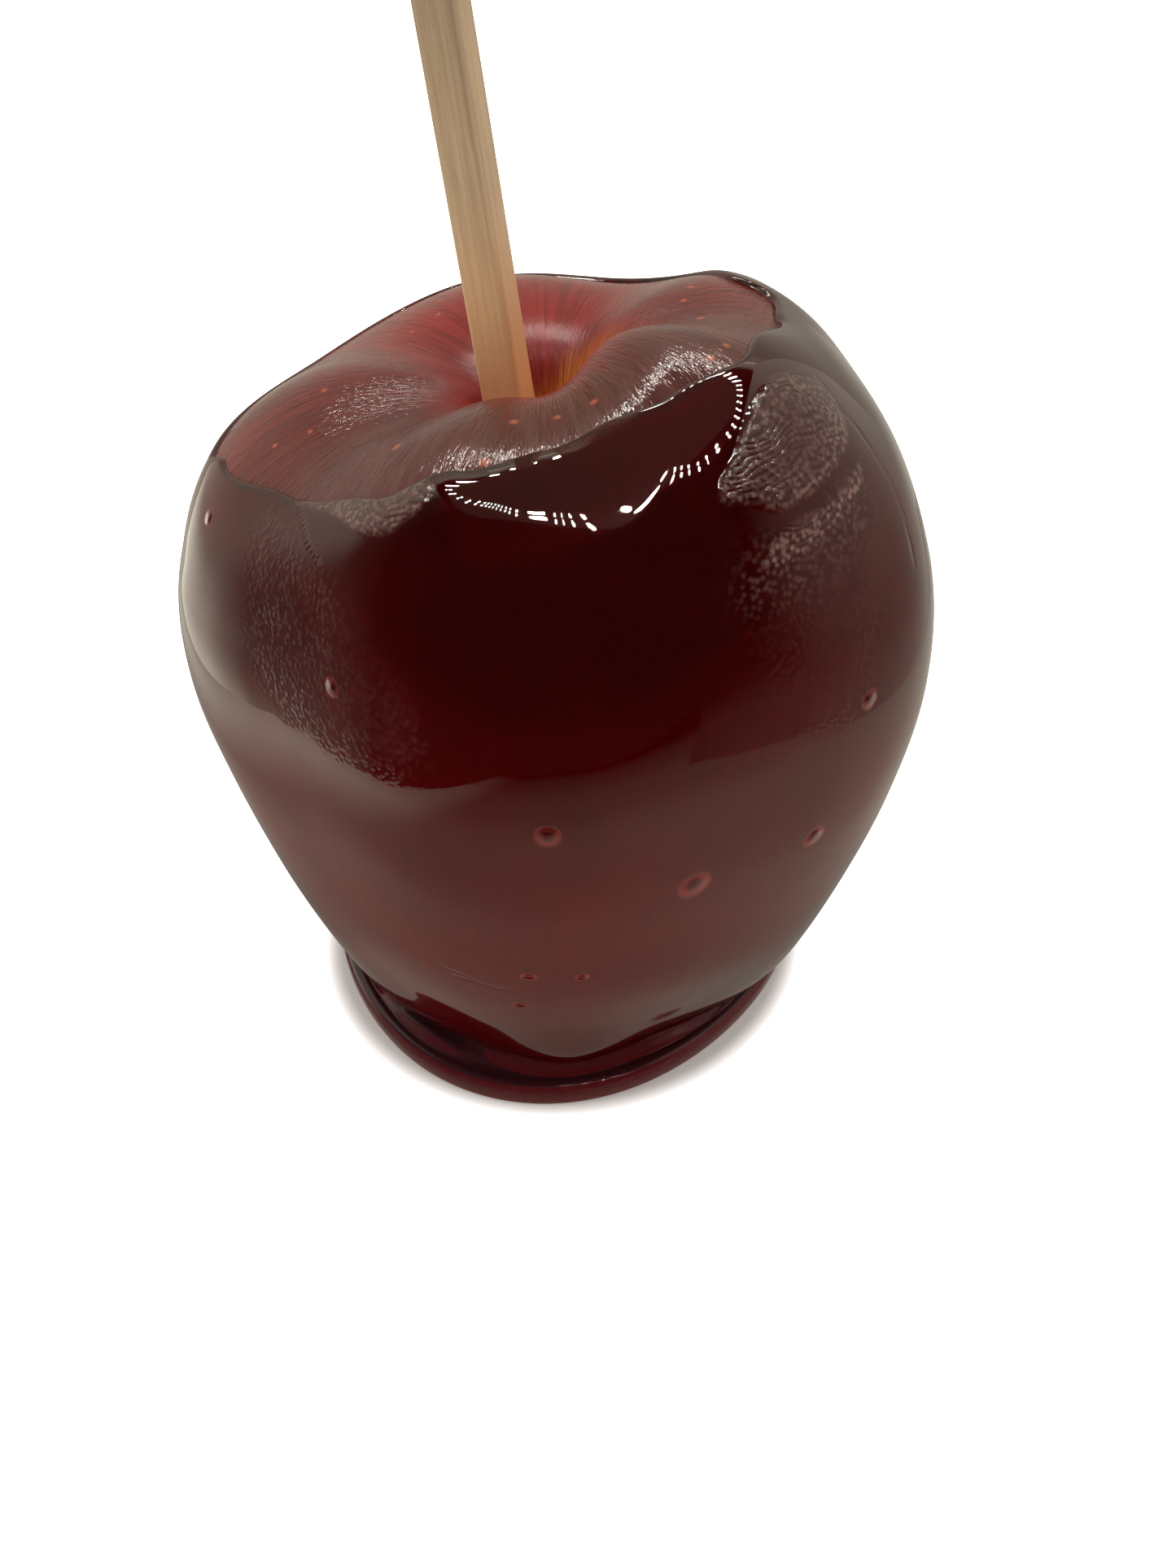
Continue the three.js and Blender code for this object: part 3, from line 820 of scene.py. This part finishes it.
# ---------------------------------------------------------------- light box
def glow_material(name, colour, strength, fades=(), sampling="NONE"):
    """A glow, multiplied by each fade: a measure of the place, and stops of (mm, factor) for it."""
    made, n, _, glow = material(name, "ShaderNodeEmission")
    for (measure, value), stops in fades:
        strength = n.times(strength, n.stops(n.vector(measure, n.coords(), value), stops))
    n.put(glow.inputs["Color"], colour)
    n.put(glow.inputs["Strength"], strength)
    made.cycles.emission_sampling = sampling
    return made


def show_to(thing, **rays):
    """Hides a thing from every kind of ray but these."""
    for ray in ("camera", "diffuse", "glossy", "transmission", "volume_scatter", "shadow"):
        setattr(thing, "visible_" + ray, rays.get(ray, False))


WARM = (1.06, 0.98, 0.81)  # white paper, as the photo shows it in the toffee


def along(*direction):
    return "DOT_PRODUCT", Vector(direction)


def away_from(*place):
    return "DISTANCE", Vector(place) * MM


def upright(start, end, low, high):
    """The corners of an upright sheet between two places on the floor."""
    return [(*start, low), (*end, low), (*end, high), (*start, high)]


def level_sheet(x0, y0, x1, y1, z):
    return [(x0, y0, z), (x1, y0, z), (x1, y1, z), (x0, y1, z)]


def card(name, corners, *fades):
    """A glowing sheet that only reflections see, with its corners in mm. Its glow is the product of its
    fades, each a measure and stops of (mm, factor)."""
    mesh = new_mesh(name, [Vector(c) * MM for c in corners], [tuple(range(len(corners)))])
    thing = new_thing(name, mesh)
    mesh.materials.append(glow_material(name, rgb(*WARM), 1.0, fades))
    show_to(thing, glossy=True)


LIGHT_SIZE = 200  # mm
LIGHT_HEIGHT = 110  # of the lights at the sides
LIGHT_BEHIND = 5  # how far those are outside the walls


def soft_light(name, place, look, radiance):
    """A square light with its place and the place that it looks at in mm. Reflections don't see it."""
    data = bpy.data.lights.new(name, "AREA")
    data.shape = "RECTANGLE"
    data.size = data.size_y = LIGHT_SIZE * MM
    data.energy = radiance * math.pi * data.size * data.size_y
    thing = new_thing(name, data)
    thing.location = Vector(place) * MM
    thing.rotation_mode = "QUATERNION"
    thing.rotation_quaternion = (Vector(look) - Vector(place)).to_track_quat("-Z", "Y")
    show_to(thing, diffuse=True, transmission=True)


# The light box, in mm from the middle of the foot.
WALL = 115  # to each wall
ROOF, ROOF_GAP = 231, 1  # the lamps hang this gap below the roof, and its disc lies as far above it
LEFT_FRONT, RIGHT_LOW_BACK, RIGHT_LOW_FRONT, RIGHT_LOW_TOP = -50, -80, -140, 52
FLOOR_FRONT, FLOOR_RIGHT, FLOOR_LIFT = -370, 300, 0.2
BAND_LEFT, BAND_LOW = -55, 216
ROOF_BACK, ROOF_DISC, DISC_POINTS = 85, 104, 64
SHEET_GAP = 0.5  # between a wall and a sheet in front of it
RING_CENTRE, RING_GAP = (0, -10), 3.5  # half the distance between the two rows of lamps
RING = [
    (101, -36), (97, -80), (66, -106), (28, -104), (2, -103), (-20, -85), (-42, -66),
    (-78, -30), (-93, 22), (-72, 64), (-30, 76), (10, 73), (50, 65), (88, 26),
]
LEDS, LED_GLOW, LED_COLOUR, LED_SIDES = 46, 110.0, (1.0, 0.97, 0.9), 8
# The lamps are closer together at the middle of the front and further apart on the left: by how much, and
# where that starts and over how many mm it comes in.
FRONT_DENSER, FRONT_STARTS, FRONT_HALF = 1.1, (-50, 25), (60, 20)
LEFT_SPARSER, LEFT_STARTS = 0.4, (-45, 20)
# Of each lamp, the half length in mm, and the half width as a share of the distance to the next.
FRONT_LED, BACK_LED, BACK_FROM = (2.5, 0.11), (6.5, 0.15), 30
PAPER_HALF, PAPER_DROP = 3.0, 0.00006  # m
BACKDROP_RADIUS = 2.6  # m


def make_floor(name, glow, near, **rays):
    """White paper that glows too, so that it comes out white, with a painted shadow round the foot: a weaker
    glow and a darker colour near the middle.
    Glow is two distances from the middle in metres and the strength at each, and near is the painted shadow's
    colour at the first."""
    corners = level_sheet(-PAPER_HALF, -PAPER_HALF, PAPER_HALF, PAPER_HALF, -PAPER_DROP)
    mesh = new_mesh(name, corners, [(0, 1, 2, 3)])
    floor = new_thing(name, mesh)
    made, n, _, shader = material(name)
    shader.inputs["Roughness"].default_value = 0.9
    shader.inputs["Specular IOR Level"].default_value = 0.0
    reach = n.vector("LENGTH", n.coords())
    colour = n.mix(n.remap(reach, *glow[:2]), rgb(*near), rgb(0.85, 0.85, 0.85))
    n.put(shader.inputs["Emission Color"], colour)
    n.put(shader.inputs["Emission Strength"], n.remap(reach, *glow))
    n.put(shader.inputs["Base Color"], colour)
    made.cycles.emission_sampling = "NONE"
    mesh.materials.append(made)
    show_to(floor, **rays)


def make_backdrop():
    """A white ball round everything, which only the camera sees."""
    mesh = bpy.data.meshes.new("backdrop")
    ball = bmesh.new()
    bmesh.ops.create_icosphere(ball, subdivisions=4, radius=BACKDROP_RADIUS)
    ball.to_mesh(mesh)
    ball.free()
    thing = new_thing("backdrop", mesh)
    mesh.materials.append(glow_material("backdrop", rgb(1, 1, 1), 1.0))
    show_to(thing, camera=True)


def lamp_places(loop):
    """The lamps' places on a closed loop."""
    closed = np.vstack([loop, loop[:1]])
    steps = np.linalg.norm(np.diff(closed, axis=0), axis=1)
    x, y = loop.T
    front = ease((FRONT_STARTS[0] - y) / FRONT_STARTS[1]) * ease((FRONT_HALF[0] - np.abs(x)) / FRONT_HALF[1])
    steps *= 1 + FRONT_DENSER * front - LEFT_SPARSER * ease((LEFT_STARTS[0] - x) / LEFT_STARTS[1])
    reached = np.concatenate([[0], np.cumsum(steps)])
    stops = np.arange(LEDS) * reached[-1] / LEDS
    return np.stack([np.interp(stops, reached, closed[:, k]) for k in (0, 1)], -1)


def make_leds():
    """Two rows of small lamps in the roof, which the toffee shows as a dotted loop. Those at the back are
    long, because the toffee's edge squeezes their reflections."""
    points, faces = [], []
    middle = lamp_places(smooth_loop(RING))
    to_next = np.linalg.norm(np.roll(middle, -1, 0) - middle, axis=1)
    outward = middle - RING_CENTRE
    outward /= np.linalg.norm(outward, axis=1, keepdims=True)
    sideways = np.stack([-outward[:, 1], outward[:, 0]], -1)
    for gap in (-RING_GAP, RING_GAP):
        for place, out, side, step in zip(middle + gap * outward, outward, sideways, to_next):
            long, share = BACK_LED if place[1] > BACK_FROM else FRONT_LED
            wide = share * step
            faces.append(tuple(range(len(points), len(points) + LED_SIDES)))
            for turn in np.arange(LED_SIDES) * 2 * math.pi / LED_SIDES:
                x, y = place + long * math.cos(turn) * out + wide * math.sin(turn) * side
                points.append((x * MM, y * MM, (ROOF - ROOF_GAP) * MM))
    mesh = new_mesh("led_ring", points, faces)
    thing = new_thing("led_ring", mesh)
    mesh.materials.append(glow_material("led_ring", rgb(*LED_COLOUR), LED_GLOW, sampling="FRONT_BACK"))
    show_to(thing, glossy=True)


def make_cards():
    """What the toffee reflects of the light box's walls, floor and roof."""
    up, back, right = along(0, 0, 1), along(0, 1, 0), along(1, 0, 0)
    far_left, far_right = (-WALL, WALL), (WALL, WALL)
    card(
        "reflected_floor",
        level_sheet(-WALL, FLOOR_FRONT, FLOOR_RIGHT, WALL, FLOOR_LIFT),
        (
            away_from(0, 0, 0),
            [(30, 0.24), (36, 0.21), (60, 0.39), (105, 0.5), (150, 0.34), (190, 0.28), (240, 0.16), (370, 0)],
        ),
        (right, [(-105, 2.1), (-72, 0.85), (0, 1.0), (60, 1.15)]),
    )
    card(
        "reflected_left",
        upright((-WALL, LEFT_FRONT), far_left, 0, ROOF),
        (up, [(0, 1.75), (25, 1.4), (55, 0.7), (150, 0.72)]),
        (back, [(-50, 0.08), (-12, 0.16), (24, 1.0)]),
    )
    card(
        "reflected_back",
        upright(far_left, far_right, 0, ROOF),
        (up, [(0, 0.6), (60, 0.4), (83, 0.5), (120, 0.55), (180, 0.6), (205, 0.9)]),
    )
    before = WALL - SHEET_GAP
    card(
        "reflected_back_band",
        upright((BAND_LEFT, before), (WALL, before), BAND_LOW, ROOF),
        (up, [(216, 0.9), (223, 2.3)]),
        (right, [(-55, 0.95), (-20, 1.0)]),
    )
    card(
        "reflected_right",
        upright(far_right, (WALL, -WALL), 0, ROOF),
        (up, [(0, 0.45), (40, 0.36), (90, 0.6), (200, 0.9)]),
        (back, [(-115, 0), (-50, 0.75), (0, 0.95), (60, 1.25)]),
    )
    card(
        "reflected_right_low",
        upright((before, RIGHT_LOW_BACK), (before, RIGHT_LOW_FRONT), 0, RIGHT_LOW_TOP),
        (up, [(0, 0.45), (28, 0.38), (48, 0.08)]),
        (back, [(-140, 0.3), (-112, 0.42), (-92, 0.5), (-80, 0.57)]),
    )
    corners = level_sheet(-WALL, ROOF_BACK, WALL, WALL, ROOF)
    card("reflected_roof_back", corners, (back, [(86, 0.3), (100, 1.2)]))
    turns = np.linspace(0, 2 * math.pi, DISC_POINTS, endpoint=False)
    x, y = RING_CENTRE
    disc = [(x + ROOF_DISC * math.cos(a), y + ROOF_DISC * math.sin(a), ROOF + ROOF_GAP) for a in turns]
    card("reflected_roof", disc, (up, [(0, 0.2), (1, 0.2)]))


def make_lights():
    outside, height = WALL + LIGHT_BEHIND, LIGHT_HEIGHT
    soft_light("roof_light", (0, -15, ROOF), (0, -15, 0), 2.3)
    soft_light("left_light", (-outside, 10, height), (0, 10, height), 1.0)
    soft_light("right_light", (outside, 10, height), (0, 10, height), 1.0)
    soft_light("back_light", (0, outside, height), (0, 0, height), 1.0)
    world = bpy.data.worlds.new("room")
    world.use_nodes = True
    background = world.node_tree.nodes["Background"]
    background.inputs["Color"].default_value = rgb(1, 1, 1)
    background.inputs["Strength"].default_value = 0.03
    bpy.context.scene.world = world


def make_light_box():
    # both floors carry a painted shadow round the foot; the camera sees the first, and light that bounces
    # sees the second
    make_floor("floor", (0.0285, 0.0325, 0.35, 1.6), (0.8, 0.72, 0.67), camera=True)
    make_floor("floor_unseen", (0.037, 0.068, 0.03, 2.2), (0.3, 0.3, 0.3), diffuse=True, transmission=True)
    make_backdrop()
    make_leds()
    make_cards()
    make_lights()


# ---------------------------------------------------------------- put together
BOUNCES = 8

make_camera()
make_light_box()
bpy.context.scene.view_settings.view_transform = "Standard"
bpy.context.scene.cycles.max_bounces = BOUNCES
bpy.context.scene.cycles.transmission_bounces = BOUNCES

pieces = [
    (make_fruit(), "apple", "apple_skin", skin_material()),
    (make_coat(), "toffee_coat", "toffee", toffee_material()),
    (make_stick(), "stick", "stick_wood", wood_material()),
]
for piece, node, slot, look in pieces:
    piece.data.materials.append(look)
    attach(piece, "root")
    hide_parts(node)
